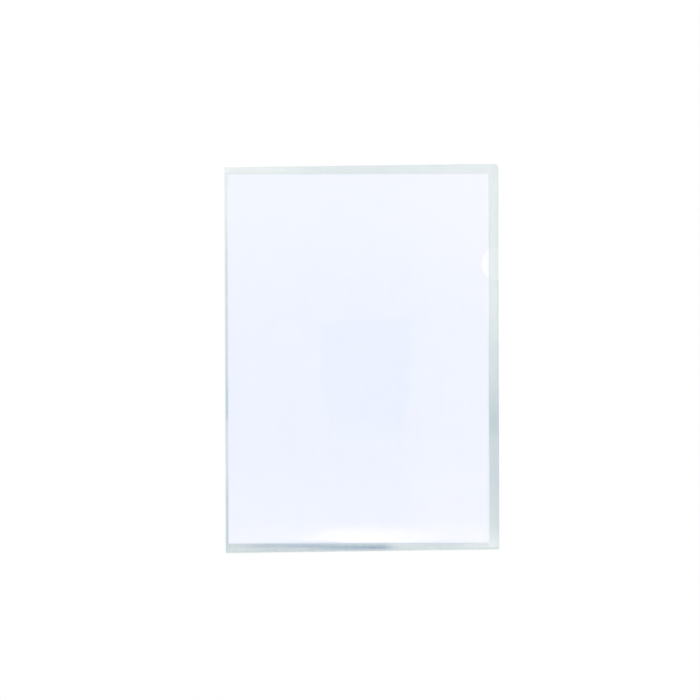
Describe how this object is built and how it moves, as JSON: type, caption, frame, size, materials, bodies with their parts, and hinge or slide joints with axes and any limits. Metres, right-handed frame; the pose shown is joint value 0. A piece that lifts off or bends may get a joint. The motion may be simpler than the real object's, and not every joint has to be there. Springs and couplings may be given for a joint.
{
  "type": "clear l-folder",
  "caption": "Clear plastic A4 L-folder, folded at the left, welded at the bottom, open at the top and right, with a thumb notch and a white sheet in its pocket.",
  "frame": {"origin": "centre of the folder's outline, on the underside of the back panel", "axes": "+Y up the fold towards the open top edge, +X from the fold towards the open right edge, +Z out of the front film"},
  "size_m": [0.22, 0.3122, 0.0007],
  "materials": {
    "clear_film": "clear glossy polypropylene film with a faint blue tint",
    "weld": "melted clear film, slightly hazy",
    "paper": "plain bright white office paper"
  },
  "bodies": {
    "folder": {"back_panel": "clear_film", "fold_edge": "clear_film", "bottom_weld": "weld", "front_panel": "clear_film"},
    "flap_1": {"front_flap_1": "clear_film"},
    "flap_2": {"front_flap_2": "clear_film"},
    "flap_3": {"front_flap_3": "clear_film"},
    "flap_4": {"front_flap_4": "clear_film"},
    "flap_5": {"front_flap_5": "clear_film"},
    "flap_6": {"front_flap_6": "clear_film"},
    "flap_7": {"front_flap_7": "clear_film"},
    "flap_8": {"front_flap_8": "clear_film"},
    "sheet": {"insert_sheet": "paper"}
  },
  "joints": [
    {"name": "corner_peel", "type": "hinge", "parent": "folder", "child": "flap_1", "pos_m": [0.00341, 0.00313, 0.00065], "axis": [0.583, -0.8124, 0], "range_deg": [0, 15], "stiffness_Nm_per_rad": 0.067},
    {"name": "corner_curl_2", "type": "hinge", "parent": "flap_1", "child": "flap_2", "pos_m": [0.02175, 0.0163, 0.00065], "axis": [0.583, -0.8124, 0], "range_deg": [0, 15]},
    {"name": "corner_curl_3", "type": "hinge", "parent": "flap_2", "child": "flap_3", "pos_m": [0.04009, 0.02946, 0.00065], "axis": [0.583, -0.8124, 0], "range_deg": [0, 15]},
    {"name": "corner_curl_4", "type": "hinge", "parent": "flap_3", "child": "flap_4", "pos_m": [0.05843, 0.04262, 0.00065], "axis": [0.583, -0.8124, 0], "range_deg": [0, 15]},
    {"name": "corner_curl_5", "type": "hinge", "parent": "flap_4", "child": "flap_5", "pos_m": [0.07677, 0.05578, 0.00065], "axis": [0.583, -0.8124, 0], "range_deg": [0, 15]},
    {"name": "corner_curl_6", "type": "hinge", "parent": "flap_5", "child": "flap_6", "pos_m": [0.09511, 0.06894, 0.00065], "axis": [0.583, -0.8124, 0], "range_deg": [0, 15]},
    {"name": "corner_curl_7", "type": "hinge", "parent": "flap_6", "child": "flap_7", "pos_m": [0.11675, 0.08447, 0.00065], "axis": [0.583, -0.8124, 0], "range_deg": [0, 15]},
    {"name": "corner_curl_8", "type": "hinge", "parent": "flap_7", "child": "flap_8", "pos_m": [0.1315, 0.09506, 0.00065], "axis": [0.583, -0.8124, 0], "range_deg": [0, 15]},
    {"name": "sheet_slide", "type": "slide", "parent": "folder", "child": "sheet", "axis": [1, 0, 0], "range_m": [-0.0015, 0.22]}
  ],
  "couplings": [
    {"joint": "corner_curl_2", "follows": "corner_peel", "ratio": 1},
    {"joint": "corner_curl_3", "follows": "corner_peel", "ratio": 1},
    {"joint": "corner_curl_4", "follows": "corner_peel", "ratio": 1},
    {"joint": "corner_curl_5", "follows": "corner_peel", "ratio": 1},
    {"joint": "corner_curl_6", "follows": "corner_peel", "ratio": 1},
    {"joint": "corner_curl_7", "follows": "corner_peel", "ratio": 1},
    {"joint": "corner_curl_8", "follows": "corner_peel", "ratio": 1}
  ]
}
